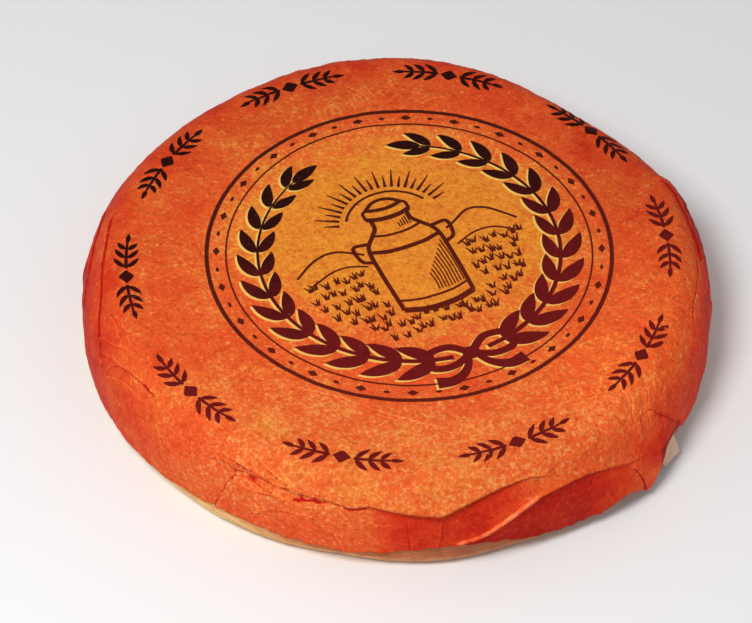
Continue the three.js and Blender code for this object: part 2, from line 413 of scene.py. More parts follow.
TOP_CREASES = (
    (0.22, 5, 0.42, ((-70, -54), (-61, -57), (-48, -62), (-21, -70), (1, -79), (22, -85))),
    (-0.28, 3.5, 0.5, ((-96, 14), (-97, 5), (-98, -12), (-97, -27))),
    (0.25, 3, 0.45, ((-23, 91), (-18, 87), (-12, 82))),
    (-0.22, 2.5, 0.4, ((-14, 93), (-12, 89), (-9, 84))),
    (0.22, 2.5, 0.35, ((-12, 80), (-7, 84), (-2, 89))),
    (0.22, 2.5, 0.4, ((-8, 78), (4, 78), (13, 83), (22, 85))),
    (-0.2, 2.5, 0.35, ((13, 90), (20, 86), (27, 83))),
    (0.2, 3, 0.25, ((-6, 63), (-2, 60), (3, 57))),
    (0.2, 3.5, 0.25, ((62, 72), (55, 66), (51, 58), (40, 52))),
    (-0.2, 3.5, 0.25, ((78, 46), (70, 42), (66, 36), (56, 34))),
    (0.2, 3, 0.25, ((88, 20), (80, 14), (70, 13))),
    (0.2, 3, 0.25, ((-88, 42), (-78, 38), (-72, 30), (-60, 28))),
    (-0.18, 3, 0.2, ((-60, 72), (-52, 66), (-50, 58))),
    (0.2, 3, 0.25, ((84, -40), (76, -42), (70, -50), (60, -54))),
)
# darts of the side that the front view doesn't show, spread by seeded draws between these limits
BACK_DARTS = 13
BACK_FROM = -4.0
BACK_TO = 186.0
DART_FOOT = 3.0
DART_TOP = (20, 35)
DART_LEAN = (-5, 5)
DART_BEND = (-1.5, 1.5)
DART_STEP = (0.35, 0.8)
DART_FADE = 3.5
DART_DARK = (0.5, 1.0)
DARTS_WITH_OVERLAP = 0.6
# fine wrinkles, of which a share runs upright and a share lies on the ring and the shoulder
FINE_WRINKLES = 150
WRINKLE_LENGTH = (6, 22)
WRINKLE_BEND = (-0.25, 0.25)
WRINKLE_STEP = (0.08, 0.2)
WRINKLE_FADE = (1.5, 3.0)
WRINKLE_DARK = (0.08, 0.35)
WRINKLES_UPRIGHT = 0.65
WRINKLES_ON_RING = 0.85
RING_ALONG = (68, 112)
MIDDLE_ALONG = (15, 68)
SHOULDER_ALONG = 22  # how far it is over the shoulder, along the surface
# how far a crease shows, and how it runs out at its ends
CREASE_REACH = 14.0
CREASE_LINE_REACH = 1.7
CREASE_SOFT = 0.55
CREASE_GROOVE = 0.3
CREASE_START = 0.18
CREASE_END = 0.12
# a faint crease gives way to a darker one near it
FAINT = 0.4
FAINT_SETBACK = 0.8
FAINT_FROM = 0.6


def smooth_path(points, spacing):
    """A Catmull-Rom curve through the points, with steps of about the spacing."""
    points = np.asarray(points, float)
    padded = np.concatenate([[2 * points[0] - points[1]], points, [2 * points[-1] - points[-2]]])
    path = []
    for a, b, c, d in zip(padded, padded[1:], padded[2:], padded[3:]):
        steps = max(1, math.ceil(np.linalg.norm(c - b) / spacing))
        t = np.arange(steps)[:, None] / steps
        square = 2 * a - 5 * b + 4 * c - d
        cube = 3 * b - a - 3 * c + d
        path.append(0.5 * (2 * b + (c - a) * t + square * t**2 + cube * t**3))
    return np.concatenate([*path, points[-1:]])


def wobbled(path, amount, seed):
    """The same curve with small seeded irregularities, as a crease in paper has."""
    shift = [noise_at(path, 4.0, seed + axis) for axis in range(3)]
    return path + amount * np.stack(shift, -1)


def side_path(stations):
    stations = np.asarray(stations, float)
    angle, height = stations.T
    radius, raised = side_point(angle, height, 0 * angle)
    return smooth_path(polar(angle, radius + skirt_lift(angle, height), raised), 1.0)


def back_darts():
    """Darts that climb from the hem, each as deep and as long as its draw says."""
    chance = np.random.default_rng(11)
    gap = (BACK_TO - BACK_FROM) / BACK_DARTS
    darts = []
    for index in range(BACK_DARTS):
        at = BACK_FROM + (index + chance.uniform(0.1, 0.9)) * gap
        top = chance.uniform(*DART_TOP)
        lean = chance.uniform(*DART_LEAN)
        bend = chance.uniform(*DART_BEND)
        stations = ((at + lean, top), (at + lean / 2 + bend, (top + 4) / 2 + 3), (at, DART_FOOT))
        step = chance.choice([-1, 1]) * chance.uniform(*DART_STEP)
        darts.append((step, DART_FADE, chance.uniform(*DART_DARK), stations))
        if chance.uniform() < DARTS_WITH_OVERLAP:
            over = ((at + lean - 5, top + 3), (at + lean, top + 0.5), (at + lean + 6, top + 2.5))
            darts.append((0.35, 3.0, 0.5, over))
    return darts


def fine_wrinkles():
    """Short slight creases all over the ring and the shoulder, and a few on the middle of the top."""
    chance = np.random.default_rng(23)
    flat = RADIUS - SHOULDER_IN
    wrinkles = []
    for number in range(FINE_WRINKLES):
        angle = chance.uniform(0, 360)
        length = chance.uniform(*WRINKLE_LENGTH)
        lean = chance.normal(0, 40) if chance.uniform() < WRINKLES_UPRIGHT else chance.normal(90, 30)
        # how far along the surface from the middle of the top
        along_limits = RING_ALONG if chance.uniform() < WRINKLES_ON_RING else MIDDLE_ALONG
        start = chance.uniform(*along_limits)
        bend = chance.uniform(*WRINKLE_BEND) * length
        t = np.linspace(-0.5, 0.5, 5)
        across, along = math.sin(math.radians(lean)), math.cos(math.radians(lean))
        out = start + length * t * along - bend * (4 * t * t) * across
        sideways = length * t * across + bend * (4 * t * t) * along
        turned = angle + np.degrees(sideways / max(start, 40))
        over = np.maximum(0, out - flat)
        rim = outline(turned) - SHOULDER_IN
        slope = np.clip(over / SHOULDER_ALONG, 0, 1) * math.pi / 2
        radius = np.where(over > 0, rim + SHOULDER_IN * np.sin(slope), out / flat * rim)
        height = HEIGHT - SHOULDER_DOWN * (1 - np.cos(slope)) * (over > 0)
        path = smooth_path(polar(turned, radius, height), 1.2)
        step = chance.choice([-1, 1]) * chance.uniform(*WRINKLE_STEP)
        fade, dark = chance.uniform(*WRINKLE_FADE), chance.uniform(*WRINKLE_DARK)
        wrinkles.append((step, fade, dark, wobbled(path, 0.4, number + 200)))
    return wrinkles


def all_creases():
    """Every crease as step, fade, darkness and its curve over the wheel."""
    creases = []
    for number, (step, fade, dark, stations) in enumerate([*SIDE_CREASES, *back_darts()]):
        creases.append((step, fade, dark, wobbled(side_path(stations), 0.35, number)))
    for number, (step, fade, dark, points) in enumerate(TOP_CREASES):
        level = [(x, y, HEIGHT) for x, y in points]
        creases.append((step, fade, dark, wobbled(smooth_path(level, 1.0), 0.6, 60 + number)))
    return fine_wrinkles() + creases


def crease_fields(points, outward):
    """How far the creases lift each point, its signed distance to the nearest and how dark the painted shade
    of that crease's line is.
    """
    lift = np.zeros(len(points))
    nearest = np.full(len(points), CREASE_REACH)
    side = np.full(len(points), CREASE_REACH)
    dark = np.zeros(len(points))
    for step, fade, darkness, path in all_creases():
        low, high = path.min(0) - CREASE_REACH, path.max(0) + CREASE_REACH
        close = np.nonzero(((points > low) & (points < high)).all(-1))[0]
        if not len(close):
            continue
        place, up = points[close], outward[close]
        best = np.full(len(close), 1e9)
        signed = np.zeros(len(close))
        share = np.zeros(len(close))
        for number, (a, b) in enumerate(zip(path, path[1:])):
            along = b - a
            t = np.clip((place - a) @ along / (along @ along), 0, 1)
            away = place - a - t[:, None] * along
            distance = np.linalg.norm(away, axis=-1)
            turned = np.einsum("ij,ij->i", np.cross(along, away), up)
            better = distance < best
            best = np.where(better, distance, best)
            signed = np.where(better, np.sign(turned) * distance, signed)
            share = np.where(better, (number + t) / (len(path) - 1), share)
        taper = smooth(share, 0, CREASE_START) * smooth(1 - share, 0, CREASE_END)
        raised = signed if step > 0 else -signed
        on_top = smooth(raised, -CREASE_SOFT, CREASE_SOFT)
        groove = CREASE_GROOVE * (1 - on_top) * np.exp(-(raised**2))
        shape = on_top * np.exp(-np.maximum(raised, 0) / fade) - groove
        lift[close] += abs(step) * taper * shape * (best < CREASE_REACH)
        best = best + FAINT_SETBACK * (darkness < FAINT) * (best > FAINT_FROM)
        wins = best < nearest[close]
        chosen = close[wins]
        nearest[chosen] = best[wins]
        side[chosen] = raised[wins]
        dark[chosen] = (darkness * taper * np.exp(-((best / CREASE_LINE_REACH) ** 2)))[wins]
    return lift, side, dark


# The paper cap
# where, over what half width, and by how much the wrinkles at the rim are stronger
RIM_WRINKLES = ((321, 15, 1.3), (214, 22, 0.9), (350, 20, 1.1), (335, 10, 1.0))
# the rows that go back in under a fold: how far up and out, as shares of its overhang
LEDGE_TUCK = ((0.35, 0.55), (0.75, 0.1))
SLANT_TUCK = ((0.1, 0.5), (0.35, 0.05))
MOST_TUCK = 1.6
UNDER_FOLD = 0.1  # how far under a fold the next stretch of paper starts
CREST_EDGE = 0.35
SHADE_DEPTH = 3.0  # of the shade under a fold, down the paper
LEDGE_POINT = 278  # where the ledge hangs lowest
# the panel under the ledge is redder partly from its print and partly as painted shade
PANEL_RED_AND_SHADE = 0.75
# painted shade on the hem that is turned in, at the front right
TURNED_HEM = (321.6, 323.2, 331, 333)
TURNED_HEM_HIGH = (1.6, 3.4)
TURNED_HEM_SHADE = 1.8
# the inside of the cap: how far in it is, and its flat top
INSIDE_AT = 0.75
CEILING = HEIGHT - 0.8
CEILING_SHRINK = 0.7  # from each ring to the next one in
TOP_INNERMOST = 2
HALVED_FROM = 0.85  # as a share of the flat top, where the rings first have half the columns


def ridges(points, wavelength, seed):
    """Sharp little ridges from -1 to 1, as crumpled paper has."""
    return 1 - 2 * np.sqrt(np.abs(noise_at(points, wavelength, seed)))


def undulation(points):
    """Unevenness of the sheet, in millimetres outward: slow waves, crumples, and round the rim
    wrinkles that run in and out."""
    slow = 0.3 * noise_at(points, 34, 1)
    middle = 0.2 * noise_at(points, 11, 2)
    x, y, height = points.T
    angle = np.degrees(np.arctan2(y, x))
    radius = np.hypot(x, y)
    amount = np.clip(0.65 + 0.6 * noise_at(points, 38, 12), 0.15, 1.3)
    crumples = 0.13 * ridges(points, 7.0, 13) + 0.07 * ridges(points, 3.6, 14)
    unrolled = polar(angle, RADIUS, 0.32 * (radius - 0.8 * height))
    radial = 0.24 * ridges(unrolled, 5.2, 15) * smooth(radius, 66, 98) * smooth(height, 20, 32)
    return slow + middle + amount * (crumples + radial * (1 + bumps(angle, RIM_WRINKLES)))


def gathers(angle, height):
    """Fine upright wrinkles of the side, fading out up the shoulder."""
    round_side = polar(angle, RADIUS, 0.12 * height)
    ridged = 1 - 2 * np.abs(noise_at(round_side, 6.5, 8))
    return 0.22 * ridged * fade_out(height, 22, 37) * (0.6 + 0.4 * noise_at(round_side, 60, 9))


def hem_height(angle):
    place = polar(angle, RADIUS, 0)
    ragged = 0.9 * noise_at(place, 9, 4) + 0.6 * ridges(place, 7, 16)
    ragged += 0.55 * noise_at(place, 2.4, 5) + 0.3 * noise_at(place, 0.9, 6)
    return np.maximum(HEM_LOWEST, HEM + bumps(angle, HEM_WAVES) + ragged)


def side_rows(angle):
    """Rows of the side, from the start of the shoulder to the hem: height, lift, how deep the row
    lies in the painted shade of a fold, how red its panel is from print and painted shade, and how
    strong the painted highlight on its edge is."""
    ledge, ledge_out = fold_line(LEDGE, angle)
    slant, slant_out = fold_line(SLANT, angle)
    hem = hem_height(angle)
    none = 0 * angle
    left, right = smooth(ledge_out, 0.5, 1.9), smooth(ledge_out, 0.35, 1.5)
    under_ledge = PANEL_RED_AND_SHADE * np.where(angle < LEDGE_POINT, left, right)
    ledge_panel = under_ledge * smooth(-turn(angle, 284), -3, 4)
    under_slant = np.maximum(ledge_panel, smooth(slant_out, 0.1, 0.95))
    ledge_shade = smooth(ledge_out, 0.4, 1.1)
    slant_shade = np.minimum(slant_out, 1)
    # painted highlight along the crest of the slanting fold
    crest_lit = smooth(slant_out, 0.5, 1.0) * fade_out(turn(angle, 294), 0, 7)
    crest_lit = crest_lit * (0.75 + 0.45 * noise_at(polar(angle, RADIUS, 0), 2.6, 19))
    rows = []
    for row in range(1, SHOULDER_ROWS + 1):
        slope = math.pi / 2 + (slope_at(ledge) - math.pi / 2) * row / SHOULDER_ROWS
        height = HEIGHT - SHOULDER_DOWN * (1 - np.sin(slope))
        share = np.clip((height - ledge) / LEDGE_FADE, 0, 1)
        rows.append((height, ledge_out * (1 - share) ** 1.5, none, none, none))
    for up, out in LEDGE_TUCK:
        height = ledge + up * np.minimum(ledge_out, MOST_TUCK)
        rows.append((height, ledge_out * out, ledge_shade, under_ledge, none))
    panel_top, panel_foot = ledge - UNDER_FOLD, slant + CREST + CREST_EDGE
    panel_heights = [panel_top + (panel_foot - panel_top) * row / PANEL_ROWS for row in range(PANEL_ROWS + 1)]
    for height in [*panel_heights, slant + CREST, slant + CREST / 2, slant]:
        share = np.clip((height - slant) / SLANT_FADE, 0, 1)
        shade = ledge_shade * np.exp(-(ledge - height) / SHADE_DEPTH)
        lit_edge = crest_lit * fade_out(height - slant, CREST, CREST + CREST_EDGE)
        panel_red_and_shade = under_ledge * (1 - 0.8 * lit_edge)
        rows.append((height, slant_out * (1 - share) ** 2, shade * (1 - lit_edge), panel_red_and_shade, lit_edge))
    for up, out in SLANT_TUCK:
        height = slant + up * np.minimum(slant_out, MOST_TUCK)
        rows.append((height, slant_out * out, slant_shade, under_slant, none))
    # painted shade on the turned hem, added to the shade of the fold
    turned_hem = TURNED_HEM_SHADE * between(angle, *TURNED_HEM)
    for row in range(SKIRT_ROWS + 1):
        height = slant - UNDER_FOLD + (hem - slant + UNDER_FOLD) * row / SKIRT_ROWS
        shade = slant_shade * np.exp(-(slant - height) / SHADE_DEPTH)
        shade = np.maximum(shade, turned_hem * fade_out(height - hem, *TURNED_HEM_HIGH))
        rows.append((height, none, shade, under_slant, none))
    return rows


# How much nearer amber than red the print's ground is: where round the wheel, half width, how much
RING_TONES = (
    (275, 62, 0.17),
    (45, 70, -0.14),
    (160, 45, -0.08),
    (256, 14, 0.06),
    (345, 28, 0.04),
    (215, 20, -0.05),
)
SIDE_TONES = ((-5, 42, -0.3), (90, 75, -0.1), (178, 28, -0.12))
SIDE_TONE = -0.08
# the same, with the radius from which it comes in
RIM_TONES = ((183, 22, -0.12, 98), (100, 55, -0.10, 97))
RIM_TONE_FULL = 106
# painted light and shade: how much brighter the paper is painted than its colour, darker where negative
TOP_PAINTED_LIGHT = (
    (40, 70, -0.07),
    (335, 30, 0.10),
    (160, 45, -0.08),
    (112, 32, -0.08),
    (30, 20, -0.10),
    (322, 12, 0.09),
    (264, 22, -0.02),
)
SIDE_PAINTED_LIGHT = ((-6, 28, 0.15), (190, 30, -0.07))
# the corner at the front right, between these angles: its facet, with painted shading, its pale lobe, with
# painted light, and its turned hem, with a band of painted shade
FACET = (317, 321, 327, 329)
LOBE = (317.6, 318.6, 322.6, 324.0)
LOBE_TONE = 0.42
HEM_BAND = (322.4, 323.6, 330, 332)
GLOW_MIDDLE = (2, 12)
GLOW_HALF = (84, 68)


def paper_tone(points, panel_red_and_shade, lit):
    """The print's ground from red, 0, through speckled orange, a half, to smooth amber, 1, made redder
    by painted shade under the folds, and the painted light and shade that the colour is multiplied by."""
    x, y, height = points.T
    angle = np.degrees(np.arctan2(y, x)) % 360
    radius = np.hypot(x, y)
    away = (points[:, :2] - GLOW_MIDDLE) / GLOW_HALF
    glow = fade_out(np.hypot(*away.T), 0.42, 1.0)
    side = fade_out(height, 27, 38)
    ring = smooth(radius, 60, 92)
    tone = 0.55 + 0.45 * glow + ring * bumps(angle, RING_TONES)
    tone += ring * bump(angle, 115, 38, 0.14) * fade_out(radius, 86, 98)
    for *place, start in RIM_TONES:
        tone += bump(angle, *place) * smooth(radius, start, RIM_TONE_FULL)
    tone += side * (bumps(angle, SIDE_TONES) + SIDE_TONE)
    tone -= bump(angle, 257, 11, 0.16) * fade_out(height, 17, 27)
    # the panel under the ledge goes deep red, partly from its print and partly as painted shade
    tone *= 1 - 0.92 * panel_red_and_shade
    # painted shadow in the fold along the right rim
    rim_fold_shadow = bump(angle, 14, 9, 1.0) * between(height, 22, 28, 34.8, 36.2)
    # painted shading on the corner facet, painted light on its lobe and painted shade on its turned hem
    facet_shading = between(angle, *FACET) * fade_out(height, 20, 29)
    lobe_light = between(angle, *LOBE) * fade_out(height, 10, 14)
    hem_band_shade = between(angle, *HEM_BAND) * fade_out(height, 16.0, 16.8)
    tone *= (1 - 0.45 * facet_shading) * (1 - 0.85 * rim_fold_shadow)
    tone += lobe_light * (LOBE_TONE - tone)
    tone *= 1 - hem_band_shade
    # painted light and shade: lighter on the lobe and the lit crest, darker on the turned hem, lighter or
    # darker by region round the top and the side, darker on the right of the red panel and in the rim fold,
    # lighter on the facet
    painted_light_shade = (1 + 0.14 * lobe_light + 0.4 * lit) * (1 - 0.3 * hem_band_shade)
    painted_light_shade += ring * (1 - side) * bumps(angle, TOP_PAINTED_LIGHT) + side * bumps(angle, SIDE_PAINTED_LIGHT)
    # painted shade on the right of the red panel
    painted_light_shade -= bump(angle, 292, 12, 0.12) * fade_out(height, 8, 16) * panel_red_and_shade
    painted_light_shade += 0.06 * facet_shading - 0.12 * rim_fold_shadow
    return np.clip(tone, 0, 1), painted_light_shade


def outward_of(angle, height):
    """Unit normals of the smooth wheel at heights of its side."""
    slope = slope_at(height)
    normal = polar(angle, SHOULDER_DOWN * np.cos(slope), SHOULDER_IN * np.sin(slope))
    return normal / np.linalg.norm(normal, axis=-1, keepdims=True)


def make_cap():
    """The cap: rings from the middle of the top out and down to the hem, and back up inside."""
    angle = np.arange(COLUMNS) * 360 / COLUMNS
    rim = outline(angle) - SHOULDER_IN
    rows = []
    for radius in np.arange(RADIUS - SHOULDER_IN, TOP_INNERMOST, -TOP_STEP):
        share = radius / (RADIUS - SHOULDER_IN)
        step = 2 ** min(MOST_HALVINGS, max(0, math.ceil(math.log2(HALVED_FROM / share))))
        ring = polar(angle[::step], share * rim[::step], HEIGHT)
        none = np.zeros(len(ring))
        rows.insert(0, (ring, np.tile([0.0, 0.0, 1.0], (len(ring), 1)), none, none, none))
    for height, lift, *looks in side_rows(angle):
        radius, raised = side_point(angle, height, lift + gathers(angle, height))
        ring = polar(angle, radius + skirt_lift(angle, height), raised)
        rows.append((ring, outward_of(angle, height), *looks))
    points, normals, shade, panel_red_and_shade, lit = [np.concatenate(column) for column in zip(*rows)]
    lift, side, dark = crease_fields(points, normals)
    points = points + (undulation(points) + lift)[:, None] * normals
    rings = np.split(points, np.cumsum([len(row[0]) for row in rows])[:-1])

    hem = hem_height(angle)
    ledge = fold_line(LEDGE, angle)[0]
    rings.append(rings[-1] - SHEET * normals[-COLUMNS:])
    for row in range(1, INSIDE_ROWS + 1):
        height = hem + (ledge - hem) * row / INSIDE_ROWS
        radius, raised = side_point(angle, height, -INSIDE_AT + 0 * angle)
        rings.append(polar(angle, radius + skirt_lift(angle, height), raised))
    for halving in range(MOST_HALVINGS + 1):
        step = 2**halving
        rings.append(polar(angle[::step], CEILING_SHRINK**halving * rim[::step], CEILING))
    middle = (0, 0, rings[0][:, 2].mean())
    vertices, faces = closed_by_rings(rings, middle, (0, 0, CEILING))
    made = new_piece("printed_paper_cap", vertices, faces, "printed_paper", "paper_cap")

    # the middle of the top comes last but one in the vertices and looks like the outside
    tone, painted_light_shade = paper_tone(points, panel_red_and_shade, lit)
    inside = len(vertices) - len(points)
    add_values(made, "crease_side", np.concatenate([side, np.full(inside, CREASE_REACH)]))
    add_values(made, "crease_shade", np.concatenate([dark, np.zeros(inside)]))
    add_values(made, "fold_shade", np.concatenate([shade, np.zeros(inside)]))
    add_values(made, "tone", np.concatenate([tone, np.zeros(inside - 2), [1, 0]]))
    add_values(made, "painted_light_shade", np.concatenate([painted_light_shade, np.ones(inside)]))
    add_values(made, "inside", np.concatenate([np.zeros(len(points)), np.ones(inside - 2), [0, 1]]))
    return made


cap = make_cap()


# The print: a wreath round a milk churn, and ornaments along the rim
PRINT_TURN = 24.0
PRINT_MIDDLE = (4.0, 3.0)
INK_STEP = 1.0
INK_INTO = 0.12  # how far the strips of ink reach into the paper
DARK_OVER = 0.17
PALE_OVER = 0.11
PALE_SHIFT = (-0.75, -0.75)
LINE_LEAST = 0.04  # half the width of the thinnest line
LEAF_POINTS = 14
WREATH_RADIUS = 55.0
WREATH_LEAVES = 12  # pairs on each side
WREATH_FOOT = 7  # degrees from the bow to where a stem starts
WREATH_REACH = 152
LEAF_FIRST = 14
LEAF_APART = 12.2
LEAF_SHRINK = 0.025
BOW_LOOP = ((0, -55), (7, -49.5), (15, -50.5), (15.5, -57), (8, -58.5), (0, -55))
BOW_TAIL = ((1, -56), (5, -62), (11, -65), (17, -64))
CHURN_BODY = ((13.5, -27), (14, -10), (13.6, 5), (10, 11), (7.2, 15), (7.2, 20))
CHURN_HANDLE = ((12.8, 8.5), (18.5, 8.5), (18, 1), (14.2, -1))
CHURN_LID_SIDE = ((8.6, 20), (8.4, 23.5), (7, 24.5))
CHURN_LID = ((-7, 24.5), (-3.5, 27.2), (0, 28), (3.5, 27.2), (7, 24.5))
# height, half of how wide, sag at the middle, and half the line's width
CHURN_HOOPS = (
    (-27, 13.5, 2.6, 1.2),
    (-22, 13.7, 2.5, 0.45),
    (4, 13.6, 2.2, 0.9),
    (11.5, 9.6, 1.6, 0.5),
    (20, 8.6, 1.6, 1.0),
    (24.5, 7.0, 1.4, 0.8),
)
HATCHES = 9
NECK_HATCHES = 5
# half the width of each line, and its points
HILLS = (
    (0.45, ((-43, 2), (-34, 8), (-26, 9.5), (-19, 6), (-16, 4))),
    (0.45, ((43, 0), (35, 9), (28, 11), (21, 7), (17, 5))),
    (0.35, ((-40, -4), (-31, 0), (-24, 0.5), (-17, -2))),
    (0.35, ((41, -6), (33, -1), (25, -1), (17.5, -4))),
)
SUN_MIDDLE = (0, 14)
SUN_RADIUS = 17.5
RAYS = 21
RAYS_FROM = 20
RAYS_TO = (29, 25.5)  # long and short in turn
RAYS_WIDEST = 27
GRASS_ROWS = 7
GRASS_TALL = (2.2, 4.2)
MEADOW_RADIUS = 45
RING_RADIUS = 73.5
INNER_RING_RADIUS = 66.5
BEADS = 48
# where along a sprig its leaves stand, and how long they are
SPRIG_LEAVES = ((4.8, 6.4), (9.4, 6.0), (13.6, 5.0))
RIM_ORNAMENTS = 10
RIM_ORNAMENT_RADIUS = 98.5
RIM_ORNAMENT_FIRST = 115.2


class Ink:
    """Thin strips that lie on the paper, gathered into one piece."""

    def __init__(self, over):
        self.over = over
        self.grids = []

    def strip(self, path, left, right=None):
        """A strip along a path of x and y, so wide to its left and right at each point."""
        path = np.asarray(path, float)
        left = np.broadcast_to(left, len(path))
        right = left if right is None else np.broadcast_to(right, len(path))
        length = np.concatenate([[0], np.cumsum(np.linalg.norm(np.diff(path, axis=0), axis=1))])
        at = np.linspace(0, length[-1], max(2, math.ceil(length[-1] / INK_STEP) + 1))
        line = np.stack([np.interp(at, length, path[:, axis]) for axis in (0, 1)], -1)
        left = np.maximum(np.interp(at, length, left), LINE_LEAST)
        right = np.maximum(np.interp(at, length, right), LINE_LEAST)
        ahead = np.gradient(line, axis=0)
        ahead /= np.linalg.norm(ahead, axis=1)[:, None]
        beside = np.stack([-ahead[:, 1], ahead[:, 0]], -1)
        columns = max(1, math.ceil((left + right).max() / INK_STEP))
        across = np.linspace(0, 1, columns + 1)[None, :, None]
        wide = left[:, None, None] - across * (left + right)[:, None, None]
        self.grids.append(line[:, None] + wide * beside[:, None])

    def copy(self, other, shift):
        """The same strips as another's, moved."""
        self.grids += [grid + np.array(shift) for grid in other.grids]

    def moved(self, turned, middle, start=0):
        """Turns and moves the strips from the given one on."""
        way = np.radians(turned)
        spun = np.array([[math.cos(way), math.sin(way)], [-math.sin(way), math.cos(way)]])
        self.grids[start:] = [grid @ spun + np.array(middle) for grid in self.grids[start:]]

    def laid(self, name, paper):
        """The piece: each strip closed all round, its top just over the paper, its base in it."""
        vertices, faces = [], []
        for grid in self.grids:
            top, base = [], []
            for x, y in grid.reshape(-1, 2):
                hit, normal, _, _ = paper.ray_cast((x, y, HEIGHT + 20), (0, 0, -1))
                top.append(hit + normal * self.over)
                base.append(hit - normal * INK_INTO)
            faces += sheet_faces(*grid.shape[:2], len(vertices))
            vertices += top + base
        return new_piece(name, vertices, faces, "printed_paper", smooth_shaded=False)


def arc(radius, start, end, middle=(0, 0)):
    """Points of a part of a circle."""
    count = max(3, math.ceil(abs(end - start) * radius / 57.3 / INK_STEP) + 1)
    angle = np.radians(np.linspace(start, end, count))
    return np.stack([middle[0] + radius * np.cos(angle), middle[1] + radius * np.sin(angle)], -1)


def curve(*points):
    """A smooth curve through a few points of x and y."""
    level = [(x, y, 0) for x, y in points]
    return smooth_path(level, INK_STEP)[:, :2]


def mirrored(points, side):
    """A smooth curve through the points, or its mirror image where the side is -1."""
    return curve(*[(side * x, y) for x, y in points])


def leaf(ink, base, heading, length, wide, curl=0.0):
    """A pointed leaf from its base on."""
    t = np.linspace(0, 1, LEAF_POINTS)
    way = np.radians(heading + curl * t)
    steps = np.stack([np.cos(way), np.sin(way)], -1) * length / (LEAF_POINTS - 1)
    path = np.asarray(base) + np.cumsum(steps, axis=0) - steps[0]
    profile = wide * np.sin(math.pi * t**0.8) ** 0.8
    ink.strip(path, profile)


def wreath(ink):
    for side in (-1, 1):
        stem = arc(WREATH_RADIUS, -90 + side * WREATH_FOOT, -90 + side * WREATH_REACH)
        ink.strip(stem, np.linspace(1.0, 0.3, len(stem)))
        for pair in range(WREATH_LEAVES):
            at = -90 + side * (LEAF_FIRST + pair * LEAF_APART)
            place = WREATH_RADIUS * np.array([math.cos(math.radians(at)), math.sin(math.radians(at))])
            ahead = at + side * 90
            size = 1 - LEAF_SHRINK * pair
            leaf(ink, place * 1.012, ahead - side * 38, 16.5 * size, 2.9 * size, side * 26)
            leaf(ink, place * 0.988, ahead + side * 36, 15.0 * size, 2.7 * size, -side * 16)
        leaf(ink, stem[-1], -90 + side * (WREATH_REACH + 90), 13, 2.4, side * 8)


def bow(ink):
    """The ribbon that ties the wreath at its foot."""
    for side in (-1, 1):
        ink.strip(mirrored(BOW_LOOP, side), 1.5)
        tail = mirrored(BOW_TAIL, side)
        ink.strip(tail, np.linspace(1.0, 2.6, len(tail)))
    ink.strip([(-3.2, -55), (3.2, -55)], 3.0)


def churn(ink):
    """A milk churn in outline, with its hoops, lid, handles and the hatching of its shaded side."""
    for side in (-1, 1):
        ink.strip(mirrored(CHURN_BODY, side), 0.8)
        ink.strip(mirrored(CHURN_HANDLE, side), 0.75)
        ink.strip(mirrored(CHURN_LID_SIDE, side), 0.6)
    for height, half, sag, wide in CHURN_HOOPS:
        low = height - sag * 0.8
        left = ((-half, height), (-half / 2, low))
        ink.strip(curve(*left, (0, height - sag), (half / 2, low), (half, height)), wide)
    ink.strip(curve(*CHURN_LID), 0.7)
    for column in range(HATCHES):
        x = 12.4 - column * 1.25
        sag = 2.4 * math.sqrt(1 - (x / 14) ** 2)
        low = -20 - sag
        high = 1.6 - sag - column * 1.6
        ink.strip(curve((x, low), (x + 0.35, (low + high) / 2), (x - 0.1, high)), 0.24)
    for column in range(NECK_HATCHES):
        x = 6.2 - column * 1.05
        ink.strip([(x, 12.8 - column * 0.1), (x, 17.6 - column * 0.7)], 0.25)


def meadow(ink):
    """Hills, a low sun with its rays, and tufts of grass round the churn."""
    chance = np.random.default_rng(5)
    for wide, points in HILLS:
        ink.strip(curve(*points), wide)
    ink.strip(arc(SUN_RADIUS, 28, 152, SUN_MIDDLE), 0.45)
    for ray in range(RAYS):
        way = math.radians(20 + ray * 7)
        reach = RAYS_TO[0] if ray % 2 else RAYS_TO[1]
        out = np.array([math.cos(way), math.sin(way)])
        if abs(out[0]) * reach > RAYS_WIDEST:
            continue
        ink.strip([SUN_MIDDLE + out * RAYS_FROM, SUN_MIDDLE + out * reach], [0.6, 0.15])
    for row in range(GRASS_ROWS):
        y = -7 - row * 5.2
        reach = math.sqrt(max(0, MEADOW_RADIUS**2 - y**2))
        for x in np.arange(-reach + 3, reach - 2, 3.6):
            x = x + chance.uniform(-1.2, 1.2)
            foot = y + chance.uniform(-1.4, 1.4)
            if abs(x) < 18 and foot > -30:
                continue
            for side in (-1, 0, 1):
                tall = chance.uniform(*GRASS_TALL)
                lean = side * 1.1 + chance.uniform(-0.4, 0.4)
                middle = (x + lean * 0.8, foot + tall * 0.6)
                blade = [(x + side * 0.4, foot), middle, (x + lean * 1.5, foot + tall)]
                ink.strip(blade, [0.42, 0.32, 0.1])


def rings(ink):
    """Two rings round the middle with a row of beads between them, wide and narrow in turn."""
    ink.strip(arc(RING_RADIUS, 0, 360), 0.75)
    ink.strip(arc(INNER_RING_RADIUS, 0, 360), 0.3)
    for number in range(BEADS):
        at = math.radians(number * 360 / BEADS)
        out = np.array([math.cos(at), math.sin(at)])
        beside = np.array([-out[1], out[0]])
        middle = (RING_RADIUS + INNER_RING_RADIUS) / 2 * out
        wide = 1.3 if number % 2 else 0.8
        ink.strip([middle - beside * wide * 1.5, middle, middle + beside * wide * 1.5], [0.1, wide, 0.1])


